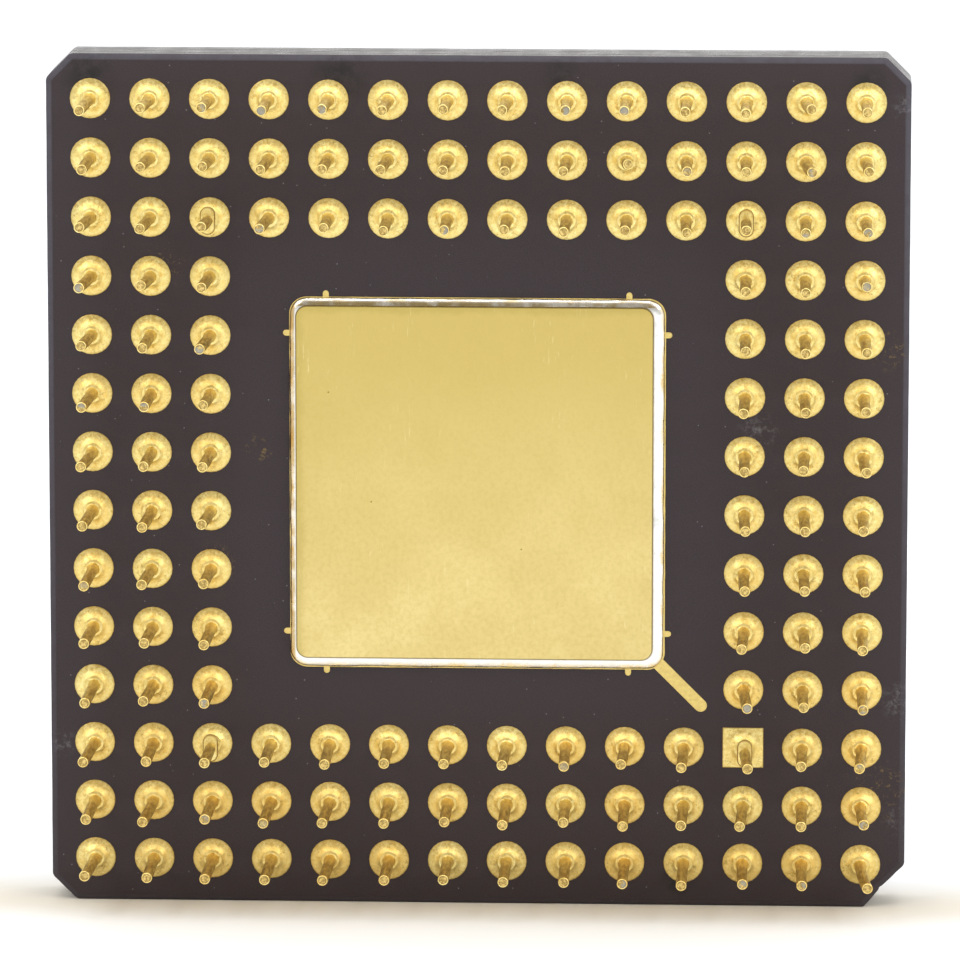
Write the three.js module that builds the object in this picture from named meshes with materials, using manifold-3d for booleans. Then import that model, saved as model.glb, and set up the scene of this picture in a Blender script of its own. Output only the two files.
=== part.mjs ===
// A ceramic pin grid array processor with its cavity on the pin side, in millimetres.
//
// The package is built lying flat in its own frame: x and y across the square, z towards the pins,
// with its origin at the middle of the ceramic. The finished package is then stood on its lower
// edge, so its pins point along -Y, its heat sink face along +Y, and the origin of the part is the
// middle of the edge that it stands on.

import * as THREE from "three";
import { mergeVertices } from "three/addons/utils/BufferGeometryUtils.js";
import Module from "manifold-3d";

const wasm = await Module();
wasm.setup();

// Driving dimensions ------------------------------------------------------------------------

const PITCH = 2.54; // the standard tenth of an inch between pins
const GRID = 14; // pins along each side of the square
const BODY_SIDE = 36.83;
const CORNER_CUT = 1.05; // three plain corners
const INDEX_CORNER_CUT = 1.7; // the corner that marks the first pin

const PIN_DIAMETER = 0.46;
const PIN_LENGTH = 4.32; // from the face of the ceramic to the tip
const PIN_SIDES = 8;
const PAD_DIAMETER = 1.73;
const FILLET_HEIGHT = 0.45; // braze that climbs from the pad to the pin
const SQUARE_PAD_SIDE = 1.75; // under the first pin only
const SQUARE_PAD_THICKNESS = 0.03;

const STANDOFF_HEIGHT = 1.27; // from the ceramic to the face of the flange that meets a board
const STANDOFF_FLANGE = { width: 0.65, length: 1.2, thickness: 0.25 };

const LAYER = { back: 1.0, lowerShelf: 0.5, upperShelf: 0.5, wiring: 0.15, seal: 0.64 };
const OPENING = { lowerShelf: 10.6, upperShelf: 12.0, seal: 13.4 };
const OPENING_CORNER = 0.5;

const FILM = 0.03; // every printed or plated film
const PLANE_INSET = 0.6; // the buried planes stop this far short of the ceramic's edges
const CONDUCTOR = 0.36; // width of a via, and of the buried conductor that joins a run of pins
const CONDUCTOR_HOLE = 0.4;

const DIE = { side: 9.6, thickness: 0.43, preform: 0.05, preformSide: 9.9 };
const FINGER = { perSide: 33, width: 0.16, length: 0.55, spine: 0.12 };
const WIRE = { thickness: 0.06, rise: 0.22, inset: 0.3 };

const SEAL_RING = { side: 16.1, corner: 0.75, inner: 13.8 };
const SEAL_TAB = { width: 0.25, length: 0.25, offset: 6.48 };
const INDEX_BAR = { width: 0.55, reach: 9.6 }; // reach: x and -y of its round end's centre
const SOLDER = { side: 15.9, corner: 0.7, inner: 13.9, thickness: 0.06, offsetX: -0.05, offsetY: 0.03 };
const LID = { side: 15.3, corner: 0.5, thickness: 0.28, offsetX: -0.12, offsetY: 0.05 };

const CURVE_SEGMENTS = 4; // straight steps in each quarter or half turn of a round corner
const CUT_MARGIN = 0.1; // how far a cutting tool runs past the faces that it goes through

// Levels along z ----------------------------------------------------------------------------

const CERAMIC_THICKNESS = Object.values(LAYER).reduce((sum, t) => sum + t, 0);
const BACK_FACE = -CERAMIC_THICKNESS / 2;
const CAVITY_FLOOR = BACK_FACE + LAYER.back;
const LOWER_SHELF = CAVITY_FLOOR + LAYER.lowerShelf;
const UPPER_SHELF = LOWER_SHELF + LAYER.upperShelf;
const WIRING_TOP = UPPER_SHELF + LAYER.wiring;
const PIN_FACE = WIRING_TOP + LAYER.seal;

// Materials ---------------------------------------------------------------------------------

const finish = (color, roughness, metalness) =>
  new THREE.MeshStandardMaterial({ color, roughness, metalness });

const ALUMINA = finish(0x493e42, 0.75, 0);
const PLATED_GOLD = finish(0xbe9632, 0.35, 1);
const LID_GOLD = finish(0xe1cd7d, 0.5, 1);
const SOLDER_METAL = finish(0xd8d8d2, 0.35, 1);
const TUNGSTEN = finish(0x6f6c68, 0.5, 1);
const SILICON = finish(0x3d4350, 0.25, 0.3);
const ALUMINIUM_WIRE = finish(0xc9cbce, 0.35, 1);

// Outlines, drawn in x and y -----------------------------------------------------------------

// A closed outline through corner points.
function polygon(points) {
  return new THREE.Shape(points.map(([x, y]) => new THREE.Vector2(x, y)));
}

function rectangle(width, height, x = 0, y = 0) {
  const [w, h] = [width / 2, height / 2];
  return polygon([[x - w, y - h], [x + w, y - h], [x + w, y + h], [x - w, y + h]]);
}

// A square about the centre with round corners.
function roundedSquare(side, radius) {
  const edge = side / 2;
  const straight = edge - radius;
  const shape = new THREE.Shape();
  shape.moveTo(straight, -edge);
  shape.absarc(straight, -straight, radius, -Math.PI / 2, 0, false);
  shape.absarc(straight, straight, radius, 0, Math.PI / 2, false);
  shape.absarc(-straight, straight, radius, Math.PI / 2, Math.PI, false);
  shape.absarc(-straight, -straight, radius, Math.PI, Math.PI * 1.5, false);
  shape.closePath();
  return shape;
}

// The ceramic's outline: a square with cut corners, the widest cut at the lower right. An inset
// outline keeps the same distance from the cuts as from the sides, which shortens its own cuts.
function bodyOutline(inset = 0) {
  const edge = BODY_SIDE / 2 - inset;
  const shortening = inset * (2 - Math.SQRT2);
  const plain = edge - CORNER_CUT + shortening;
  const index = edge - INDEX_CORNER_CUT + shortening;
  return polygon([
    [-plain, -edge],
    [index, -edge],
    [edge, -index],
    [edge, plain],
    [plain, edge],
    [-plain, edge],
    [-edge, plain],
    [-edge, -plain],
  ]);
}

// An oval with straight sides, its long way along y.
function obround(width, length) {
  const radius = width / 2;
  const straight = length / 2 - radius;
  const shape = new THREE.Shape();
  shape.absarc(0, straight, radius, 0, Math.PI, false);
  shape.absarc(0, -straight, radius, Math.PI, Math.PI * 2, false);
  shape.closePath();
  return shape;
}

// Solids -------------------------------------------------------------------------------------

// An outline with holes, raised from one level to the next.
function slab(outline, holes, from, to) {
  outline.holes = holes;
  const settings = { depth: to - from, bevelEnabled: false, curveSegments: CURVE_SEGMENTS };
  return new THREE.ExtrudeGeometry(outline, settings).translate(0, 0, from);
}

function box(width, height, from, to, x = 0, y = 0) {
  return slab(rectangle(width, height, x, y), [], from, to);
}

function solidOf(geometry) {
  const bare = geometry.index ? geometry.toNonIndexed() : geometry.clone();
  bare.deleteAttribute("normal");
  bare.deleteAttribute("uv");
  const merged = mergeVertices(bare);
  return new wasm.Manifold(
    new wasm.Mesh({
      numProp: 3,
      vertProperties: merged.attributes.position.array,
      triVerts: new Uint32Array(merged.index.array),
    }),
  );
}

function geometryOf(solid) {
  const mesh = solid.getMesh();
  const geometry = new THREE.BufferGeometry();
  geometry.setAttribute("position", new THREE.BufferAttribute(mesh.vertProperties, mesh.numProp));
  geometry.setIndex(new THREE.BufferAttribute(mesh.triVerts, 1));
  geometry.computeVertexNormals();
  return geometry;
}

function join(geometries) {
  return geometryOf(geometries.map(solidOf).reduce((joined, next) => joined.add(next)));
}

function cut(geometry, tool) {
  return geometryOf(solidOf(geometry).subtract(solidOf(tool)));
}

function piece(name, geometry, material) {
  const mesh = new THREE.Mesh(geometry, material);
  mesh.name = name;
  return mesh;
}

// The pin grid --------------------------------------------------------------------------------
//
// The three rings of pins are four arms of three lines, each arm turned a quarter turn from the
// last. The first arm runs along the top from the left corner. Each line holds eleven pins, and
// the third pin of the inner line is the standoff pin.

const ARM_NAMES = ["top", "right", "bottom", "left"];
const FIRST_PIN_ARM = "bottom";
const LINES = [
  { name: "outer", runs: [[0, 5], [6, 10]] },
  { name: "middle", runs: [[0, 5], [6, 10]] },
  { name: "inner", runs: [[0, 1], [3, 6], [7, 10]] },
];
const STANDOFF = { line: 2, place: 2 };

// Where a pin stands in the first arm: its line inwards and its place along the line.
function pinPosition(line, place) {
  const middle = (GRID - 1) / 2;
  return { x: (place - middle) * PITCH, y: (middle - line) * PITCH };
}

function armTurn(arm) {
  return (-arm * Math.PI) / 2;
}

// A pin with its braze fillet on a round pad.
function pinAndPad({ x, y }) {
  const [pad, pin] = [PAD_DIAMETER / 2, PIN_DIAMETER / 2];
  const profile = [
    new THREE.Vector2(0, 0),
    new THREE.Vector2(pad, 0),
    new THREE.Vector2(pin, FILLET_HEIGHT),
    new THREE.Vector2(pin, PIN_LENGTH),
    new THREE.Vector2(0, PIN_LENGTH),
  ];
  return new THREE.LatheGeometry(profile, PIN_SIDES)
    .rotateX(Math.PI / 2)
    .translate(x, y, PIN_FACE);
}

// The tungsten that fills a via. It runs a little into the buried conductor and into the pad,
// so the three of them join through shared metal.
function via({ x, y }) {
  const [from, to] = [WIRING_TOP - LAYER.wiring / 2, PIN_FACE + FILM];
  return box(CONDUCTOR, CONDUCTOR, from, to, x, y);
}

// Pins next to each other in a line, joined by a buried conductor in the wiring layer.
function pinRun(line, [first, last]) {
  const places = Array.from({ length: last - first + 1 }, (_, step) => first + step);
  const pins = places.map((place) => pinPosition(line, place));
  const { x: start, y } = pins[0];
  const span = (last - first) * PITCH;
  const conductor = box(span + CONDUCTOR, CONDUCTOR, UPPER_SHELF, WIRING_TOP, start + span / 2, y);
  return join([conductor, ...pins.map(via), ...pins.map(pinAndPad)]);
}

// A pin with a swaged flange that holds the package off the board.
function standoffPin(hasSquarePad) {
  const { x, y } = pinPosition(STANDOFF.line, STANDOFF.place);
  const top = PIN_FACE + STANDOFF_HEIGHT;
  const outline = obround(STANDOFF_FLANGE.width, STANDOFF_FLANGE.length);
  const flange = slab(outline, [], top - STANDOFF_FLANGE.thickness, top).translate(x, y, 0);
  const contact = box(CONDUCTOR, CONDUCTOR, UPPER_SHELF, WIRING_TOP, x, y);
  const solids = [contact, via({ x, y }), pinAndPad({ x, y }), flange];
  if (hasSquarePad) {
    const side = SQUARE_PAD_SIDE;
    solids.push(box(side, side, PIN_FACE, PIN_FACE + SQUARE_PAD_THICKNESS, x, y));
  }
  return join(solids);
}

function pinArm(armName, arm) {
  const group = new THREE.Group();
  group.rotation.z = armTurn(arm);
  LINES.forEach(({ name, runs }, line) => {
    runs.forEach((run, index) => {
      const runName = `pins_${armName}_${name}_${index + 1}`;
      group.add(piece(runName, pinRun(line, run), PLATED_GOLD));
    });
  });
  const standoff = standoffPin(armName === FIRST_PIN_ARM);
  group.add(piece(`standoff_pin_${armName}`, standoff, PLATED_GOLD));
  return group;
}

// The ceramic --------------------------------------------------------------------------------

// The tools that cut the pins' conductors out of the ceramic, turned into all four arms.
function inAllArms(tools) {
  return join(ARM_NAMES.flatMap((_, arm) => tools.map((tool) => tool.clone().rotateZ(armTurn(arm)))));
}

function viaHoles() {
  const places = LINES.flatMap(({ runs }, line) => {
    const count = runs.at(-1)[1] + 1;
    return Array.from({ length: count }, (_, place) => pinPosition(line, place));
  });
  const [from, to] = [WIRING_TOP - CUT_MARGIN, PIN_FACE + CUT_MARGIN];
  return inAllArms(places.map(({ x, y }) => box(CONDUCTOR_HOLE, CONDUCTOR_HOLE, from, to, x, y)));
}

function wiringSlots() {
  const [from, to] = [UPPER_SHELF - CUT_MARGIN, WIRING_TOP + CUT_MARGIN];
  const slots = LINES.flatMap(({ runs }, line) =>
    runs.map(([first, last]) => {
      const [start, end] = [pinPosition(line, first), pinPosition(line, last)];
      const length = end.x - start.x + CONDUCTOR_HOLE;
      return box(length, CONDUCTOR_HOLE, from, to, (start.x + end.x) / 2, start.y);
    }),
  );
  const standoff = pinPosition(STANDOFF.line, STANDOFF.place);
  slots.push(box(CONDUCTOR_HOLE, CONDUCTOR_HOLE, from, to, standoff.x, standoff.y));
  return inAllArms(slots);
}

function opening(side) {
  return roundedSquare(side, OPENING_CORNER);
}

// A ceramic layer with a shallow pocket in its upper face for a printed plane.
function layerUnderPlane(holes, from, to) {
  const layer = slab(bodyOutline(), holes, from, to);
  return cut(layer, slab(bodyOutline(PLANE_INSET), [], to - FILM, to + FILM));
}

function ceramicLayers() {
  const lowerHole = opening(OPENING.lowerShelf);
  const upperHole = opening(OPENING.upperShelf);
  const sealHole = opening(OPENING.seal);
  const wiring = cut(slab(bodyOutline(), [sealHole], UPPER_SHELF, WIRING_TOP), wiringSlots());
  const seal = cut(slab(bodyOutline(), [sealHole], WIRING_TOP, PIN_FACE), viaHoles());
  return [
    piece("ceramic_back_layer", layerUnderPlane([], BACK_FACE, CAVITY_FLOOR), ALUMINA),
    piece(
      "ceramic_lower_shelf_layer",
      layerUnderPlane([lowerHole], CAVITY_FLOOR, LOWER_SHELF),
      ALUMINA,
    ),
    piece(
      "ceramic_upper_shelf_layer",
      slab(bodyOutline(), [upperHole], LOWER_SHELF, UPPER_SHELF),
      ALUMINA,
    ),
    piece("ceramic_wiring_layer", wiring, ALUMINA),
    piece("ceramic_seal_layer", seal, ALUMINA),
  ];
}

// The ground plane also covers the cavity's floor, where the die is attached.
function buriedPlanes() {
  const ground = slab(bodyOutline(PLANE_INSET), [], CAVITY_FLOOR - FILM, CAVITY_FLOOR);
  const hole = opening(OPENING.upperShelf);
  const power = slab(bodyOutline(PLANE_INSET), [hole], LOWER_SHELF - FILM, LOWER_SHELF);
  return [piece("ground_plane", ground, TUNGSTEN), piece("power_plane", power, TUNGSTEN)];
}

// The die and its bonds ------------------------------------------------------------------------

function dieAndPreform() {
  const preformTop = CAVITY_FLOOR + DIE.preform;
  const preform = box(DIE.preformSide, DIE.preformSide, CAVITY_FLOOR, preformTop);
  const die = box(DIE.side, DIE.side, preformTop, preformTop + DIE.thickness);
  return [
    piece("die_attach_preform", preform, PLATED_GOLD),
    piece("silicon_die", die, SILICON),
  ];
}

const FINGER_PITCH = (DIE.side - 2 * WIRE.inset) / FINGER.perSide;
const fingerPlaces = Array.from(
  { length: FINGER.perSide },
  (_, index) => (index - (FINGER.perSide - 1) / 2) * FINGER_PITCH,
);

// Bond fingers on the upper shelf, joined at their outer ends by the conductor that leaves them.
function bondFingers() {
  const outer = OPENING.seal / 2;
  const tip = outer - FINGER.spine - FINGER.length;
  const half = FINGER.width / 2;
  const teeth = fingerPlaces.flatMap((x) => [
    [x - half, outer - FINGER.spine],
    [x - half, tip],
    [x + half, tip],
    [x + half, outer - FINGER.spine],
  ]);
  const end = fingerPlaces.at(-1) + FINGER.width;
  const comb = polygon([[-end, outer - FINGER.spine], ...teeth, [end, outer - FINGER.spine],
    [end, outer], [-end, outer]]);
  return slab(comb, [], UPPER_SHELF, UPPER_SHELF + FILM);
}

// Bond wires from the die to the fingers, joined by the strip of bond pads on the die.
function bondWires() {
  const dieTop = CAVITY_FLOOR + DIE.preform + DIE.thickness;
  const fingerTop = UPPER_SHELF + FILM;
  const crown = fingerTop + WIRE.rise;
  const padY = DIE.side / 2 - WIRE.inset;
  const landY = OPENING.seal / 2 - FINGER.spine - FINGER.length / 2;
  const crownY = (padY + landY) / 2;
  const t = WIRE.thickness;
  const side = [
    [padY - t, dieTop],
    [padY + t, dieTop],
    [crownY, crown - t],
    [landY - t, fingerTop],
    [landY + t, fingerTop],
    [crownY, crown],
  ];
  const wires = fingerPlaces.map((x) =>
    // The wire's outline stands in y and z, so the extrusion is turned to run along x.
    slab(polygon(side), [], -t / 2, t / 2)
      .rotateX(Math.PI / 2)
      .rotateZ(Math.PI / 2)
      .translate(x, 0, 0),
  );
  const end = fingerPlaces.at(-1) + t;
  const strip = box(end * 2, t * 2, dieTop, dieTop + FILM, 0, padY);
  return join([strip, ...wires]);
}

function bondSide(armName, arm) {
  const group = new THREE.Group();
  group.rotation.z = armTurn(arm);
  group.add(piece(`bond_fingers_${armName}`, bondFingers(), PLATED_GOLD));
  group.add(piece(`bond_wires_${armName}`, bondWires(), ALUMINIUM_WIRE));
  return group;
}

// The seal --------------------------------------------------------------------------------------

// The plated ring on the ceramic, with its eight tabs and the bar that points to the first pin.
function sealRing() {
  const top = PIN_FACE + FILM;
  const overlap = SEAL_TAB.width;
  const tabCentre = SEAL_RING.side / 2 + (SEAL_TAB.length - overlap) / 2;
  const tabLength = SEAL_TAB.length + overlap;
  const tabs = ARM_NAMES.flatMap((_, arm) =>
    [-SEAL_TAB.offset, SEAL_TAB.offset].map((x) =>
      box(SEAL_TAB.width, tabLength, PIN_FACE, top, x, tabCentre).rotateZ(armTurn(arm)),
    ),
  );
  const inner = roundedSquare(SEAL_RING.inner, OPENING_CORNER);
  const ring = slab(roundedSquare(SEAL_RING.side, SEAL_RING.corner), [inner], PIN_FACE, top);
  const root = SEAL_RING.side / 2 - SEAL_RING.corner;
  const length = Math.SQRT2 * (INDEX_BAR.reach - root) + INDEX_BAR.width;
  const middle = (INDEX_BAR.reach + root) / 2;
  const bar = slab(obround(INDEX_BAR.width, length), [], PIN_FACE, top)
    .rotateZ(Math.PI / 4)
    .translate(middle, -middle, 0);
  return join([ring, bar, ...tabs]);
}

function sealAndLid() {
  const ringTop = PIN_FACE + FILM;
  const solderTop = ringTop + SOLDER.thickness;
  const inner = roundedSquare(SOLDER.inner, OPENING_CORNER);
  const solder = slab(roundedSquare(SOLDER.side, SOLDER.corner), [inner], ringTop, solderTop);
  const lid = slab(roundedSquare(LID.side, LID.corner), [], solderTop, solderTop + LID.thickness);
  const solderPiece = piece("seal_solder", solder, SOLDER_METAL);
  solderPiece.position.set(SOLDER.offsetX, SOLDER.offsetY, 0);
  const lidPiece = piece("lid", lid, LID_GOLD);
  lidPiece.position.set(LID.offsetX, LID.offsetY, 0);
  return [piece("seal_ring", sealRing(), PLATED_GOLD), solderPiece, lidPiece];
}

// The package ------------------------------------------------------------------------------------

const processor = new THREE.Group();
processor.add(...ceramicLayers());
processor.add(...buriedPlanes());
processor.add(...dieAndPreform());
ARM_NAMES.forEach((armName, arm) => {
  processor.add(pinArm(armName, arm));
  processor.add(bondSide(armName, arm));
});
processor.add(...sealAndLid());

// Stood on its lower edge, pins towards -Y.
processor.rotation.x = Math.PI / 2;
processor.position.z = BODY_SIDE / 2;

export default processor;
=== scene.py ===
import math
import random

import bpy
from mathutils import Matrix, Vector, noise
from mathutils.geometry import tessellate_polygon

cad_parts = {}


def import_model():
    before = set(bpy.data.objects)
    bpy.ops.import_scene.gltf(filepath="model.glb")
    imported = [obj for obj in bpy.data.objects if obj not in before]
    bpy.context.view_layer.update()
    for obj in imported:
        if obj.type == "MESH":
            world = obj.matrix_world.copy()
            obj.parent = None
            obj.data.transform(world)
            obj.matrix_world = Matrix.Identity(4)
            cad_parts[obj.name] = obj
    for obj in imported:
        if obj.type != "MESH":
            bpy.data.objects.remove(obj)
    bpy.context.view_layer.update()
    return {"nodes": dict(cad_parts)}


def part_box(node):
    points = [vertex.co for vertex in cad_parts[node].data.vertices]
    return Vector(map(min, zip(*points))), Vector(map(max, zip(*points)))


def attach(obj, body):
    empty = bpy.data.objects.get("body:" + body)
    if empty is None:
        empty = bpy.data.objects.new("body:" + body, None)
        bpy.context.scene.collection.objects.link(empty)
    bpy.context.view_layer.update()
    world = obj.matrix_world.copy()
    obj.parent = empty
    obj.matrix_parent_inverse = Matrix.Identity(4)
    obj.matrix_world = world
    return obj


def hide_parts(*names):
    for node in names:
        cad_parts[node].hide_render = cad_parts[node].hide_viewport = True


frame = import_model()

# A ceramic pin grid array processor stood on its lower edge, pins towards -Y.
# Every length is in metres, in the CAD frame. MM turns millimetres into metres.

MM = 0.001
RANDOM = random.Random(132)

# Sizes read from the frame ------------------------------------------------------------------------

BODY_LOW, BODY_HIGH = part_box("ceramic_seal_layer")
PIN_FACE_Y = BODY_LOW.y
BODY_SIDE = BODY_HIGH.x - BODY_LOW.x
CENTRE_X = (BODY_LOW.x + BODY_HIGH.x) / 2
CENTRE_Z = (BODY_LOW.z + BODY_HIGH.z) / 2
PIN_LENGTH = PIN_FACE_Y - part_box("pins_top_outer_1")[0].y

LID_LOW, LID_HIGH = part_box("lid")
LID_SIDE = LID_HIGH.x - LID_LOW.x
LID_THICKNESS = LID_HIGH.y - LID_LOW.y
LID_CENTRE = ((LID_LOW.x + LID_HIGH.x) / 2, (LID_LOW.z + LID_HIGH.z) / 2)
RING_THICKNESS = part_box("seal_ring")[1].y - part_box("seal_ring")[0].y
SOLDER_TOP = PIN_FACE_Y - LID_HIGH.y

# Sizes shared with the CAD model ------------------------------------------------------------------

GRID = 14
PITCH = 2.54 * MM
CORNER_CUT = 1.05 * MM
INDEX_CORNER_CUT = 1.7 * MM
PIN_RADIUS = 0.23 * MM
PAD_RADIUS = 0.865 * MM
SQUARE_PAD_SIDE = 1.75 * MM
STANDOFF_HEIGHT = 1.27 * MM
FLANGE = {"width": 0.65 * MM, "length": 1.2 * MM, "thickness": 0.25 * MM}
OPENING = {
    "ceramic_lower_shelf_layer": 10.6 * MM,
    "ceramic_upper_shelf_layer": 12.0 * MM,
    "ceramic_wiring_layer": 13.4 * MM,
    "ceramic_seal_layer": 13.4 * MM,
}
OPENING_CORNER = 0.5 * MM
RING = {"side": 16.1 * MM, "corner": 0.75 * MM, "inner": 13.8 * MM}
TAB = {"width": 0.26 * MM, "length": 0.27 * MM, "offset": 6.48 * MM}
INDEX_BAR = {"width": 0.55 * MM, "reach": 9.6 * MM}
LID_CORNER = 0.5 * MM


# Mesh helpers -------------------------------------------------------------------------------------

def at(x, z, height=0.0):
    """A point over the pin face: x and z from the body's centre, height towards the pins' tips."""
    return Vector((CENTRE_X + x, PIN_FACE_Y - height, CENTRE_Z + z))


SMOOTH_ANGLE = 35  # degrees between faces that still shade as one surface


class Builder:
    """Collects points, faces, face materials and point values, and makes one mesh piece of them."""

    def __init__(self):
        self.points = []
        self.faces = []
        self.materials = []
        self.smooth = []
        self.values = {}

    def add_ring(self, points, **values):
        start = len(self.points)
        self.points.extend(points)
        for name, value in values.items():
            each = value if isinstance(value, list) else [value] * len(points)
            self.values.setdefault(name, {}).update({start + i: v for i, v in enumerate(each)})
        return list(range(start, start + len(points)))

    def add_face(self, corners, material=0, smooth=True):
        self.faces.append(tuple(corners))
        self.materials.append(material)
        self.smooth.append(smooth)

    def bridge(self, lower, upper, material=0):
        """Joins two closed rings of the same count with quads."""
        for i in range(len(lower)):
            j = (i + 1) % len(lower)
            self.add_face((lower[i], lower[j], upper[j], upper[i]), material)

    def loft(self, rings, material=0):
        for lower, upper in zip(rings, rings[1:]):
            self.bridge(lower, upper, material)

    def fill(self, loops, flip=False, material=0):
        """Fills a flat region: the first loop is its outline and the others are holes."""
        order = [index for loop in loops for index in loop]
        flat = [[Vector((self.points[i].x, self.points[i].z, 0)) for i in loop] for loop in loops]
        for triangle in tessellate_polygon(flat):
            corners = [order[i] for i in triangle]
            a, b, c = (self.points[i] for i in corners)
            faces_pins = (b - a).cross(c - a).y < 0
            self.add_face(corners if faces_pins != flip else corners[::-1], material, smooth=False)

    def piece(self, name, materials, replaces):
        mesh = bpy.data.meshes.new(name)
        mesh.from_pydata(self.points, [], self.faces)
        mesh.polygons.foreach_set("material_index", self.materials)
        mesh.polygons.foreach_set("use_smooth", self.smooth)
        mesh.set_sharp_from_angle(angle=math.radians(SMOOTH_ANGLE))
        for value_name, by_point in self.values.items():
            layer = mesh.attributes.new(value_name, "FLOAT", "POINT")
            for index, value in by_point.items():
                layer.data[index].value = value
        for material in materials:
            mesh.materials.append(material)
        obj = bpy.data.objects.new(name, mesh)
        bpy.context.scene.collection.objects.link(obj)
        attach(obj, "root")
        if replaces:
            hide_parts(*replaces)
        return obj


def rounded_square(side, corner, steps=8):
    """Points of a square with round corners about the centre, counter-clockwise in x and z."""
    straight = side / 2 - corner
    points = []
    for quarter, (sx, sz) in enumerate([(1, -1), (1, 1), (-1, 1), (-1, -1)]):
        for step in range(steps + 1):
            turn = math.radians(-90 + 90 * quarter + 90 * step / steps)
            x = sx * straight + corner * math.cos(turn)
            z = sz * straight + corner * math.sin(turn)
            points.append((x, z))
    return points


def divided(points, spacing):
    """The same closed outline with extra points along its long sides."""
    result = []
    for (x0, z0), (x1, z1) in zip(points, points[1:] + points[:1]):
        count = max(1, round(math.hypot(x1 - x0, z1 - z0) / spacing))
        for step in range(count):
            share = step / count
            result.append((x0 + (x1 - x0) * share, z0 + (z1 - z0) * share))
    return result


def normals_of(points):
    """Outward unit normals of a counter-clockwise closed outline."""
    result = []
    for i, _ in enumerate(points):
        (x0, z0), (x1, z1) = points[i - 1], points[(i + 1) % len(points)]
        length = math.hypot(x1 - x0, z1 - z0)
        result.append(((z1 - z0) / length, -(x1 - x0) / length))
    return result


def moved_out(points, distances):
    """An outline moved outwards by one distance for each point."""
    normals = normals_of(points)
    return [
        (x + nx * d, z + nz * d)
        for (x, z), (nx, nz), d in zip(points, normals, distances)
    ]


# Materials ----------------------------------------------------------------------------------------

class Shader:
    """A principled material and short calls for the nodes that feed it."""

    def __init__(self, name, roughness, metallic, specular=0.5):
        self.material = bpy.data.materials.new(name)
        self.material.use_nodes = True
        self.tree = self.material.node_tree
        self.surface = self.tree.nodes["Principled BSDF"]
        self.surface.inputs["Roughness"].default_value = roughness
        self.surface.inputs["Metallic"].default_value = metallic
        self.surface.inputs["Specular IOR Level"].default_value = specular
        self.place = self.node("ShaderNodeTexCoord").outputs["Object"]

    def node(self, kind, **settings):
        made = self.tree.nodes.new(kind)
        for key, value in settings.items():
            setattr(made, key, value)
        return made

    def link(self, source, socket):
        if isinstance(source, (int, float)):
            socket.default_value = source
        elif isinstance(source, tuple):
            socket.default_value = (*source, 1.0)[: len(socket.default_value)]
        else:
            self.tree.links.new(source, socket)

    def math(self, operation, a, b=0.0, clamp=False):
        made = self.node("ShaderNodeMath", operation=operation, use_clamp=clamp)
        self.link(a, made.inputs[0])
        self.link(b, made.inputs[1])
        return made.outputs[0]

    def noise(self, size, detail=3.0, roughness=0.55, place=None, distortion=0.0):
        """Noise whose lumps are about size metres across."""
        made = self.node("ShaderNodeTexNoise")
        self.link(place or self.place, made.inputs["Vector"])
        made.inputs["Scale"].default_value = 1 / size
        made.inputs["Detail"].default_value = detail
        made.inputs["Roughness"].default_value = roughness
        made.inputs["Distortion"].default_value = distortion
        return made.outputs["Fac"]

    def cells(self, size):
        """Scattered points about size metres apart."""
        made = self.node("ShaderNodeTexVoronoi")
        self.link(self.place, made.inputs["Vector"])
        made.inputs["Scale"].default_value = 1 / size
        return made

    def ramp(self, value, low, high, to_low=0.0, to_high=1.0):
        """Takes low..high to to_low..to_high smoothly, and holds the ends."""
        made = self.node("ShaderNodeMapRange", interpolation_type="SMOOTHSTEP")
        self.link(value, made.inputs["Value"])
        for socket, number in zip(("From Min", "From Max", "To Min", "To Max"),
                                  (low, high, to_low, to_high)):
            made.inputs[socket].default_value = number
        return made.outputs["Result"]

    def mix(self, share, a, b):
        made = self.node("ShaderNodeMix", data_type="RGBA")
        self.link(share, made.inputs["Factor"])
        self.link(a, made.inputs[6])
        self.link(b, made.inputs[7])
        return made.outputs[2]

    def value_of(self, name):
        return self.node("ShaderNodeAttribute", attribute_name=name).outputs["Fac"]

    def axis(self, letter):
        """The place along one axis of the row frame, in metres."""
        made = self.node("ShaderNodeSeparateXYZ")
        self.link(self.place, made.inputs["Vector"])
        return made.outputs[letter]

    def stretched(self, x=1.0, y=1.0, z=1.0, turn=0.0):
        """The place, turned about Y and squeezed along the axes, so that noise runs in streaks."""
        made = self.node("ShaderNodeMapping")
        self.link(self.place, made.inputs["Vector"])
        made.inputs["Scale"].default_value = (x, y, z)
        made.inputs["Rotation"].default_value = (0.0, math.radians(turn), 0.0)
        return made.outputs["Vector"]

    def near(self, centre, radius):
        """1 at a point of the row frame, falling to 0 at the radius."""
        made = self.node("ShaderNodeVectorMath", operation="DISTANCE")
        self.link(self.place, made.inputs[0])
        made.inputs[1].default_value = centre
        return self.ramp(made.outputs["Value"], radius, 0.0)

    def bump(self, height, depth):
        """Relief of a height from 0 to 1, depth metres deep."""
        made = self.node("ShaderNodeBump")
        made.inputs["Distance"].default_value = depth
        self.link(height, made.inputs["Height"])
        self.link(made.outputs["Normal"], self.surface.inputs["Normal"])

    def finish(self, color=None, roughness=None):
        if color is not None:
            self.link(color, self.surface.inputs["Base Color"])
        if roughness is not None:
            self.link(roughness, self.surface.inputs["Roughness"])
        return self.material


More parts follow.
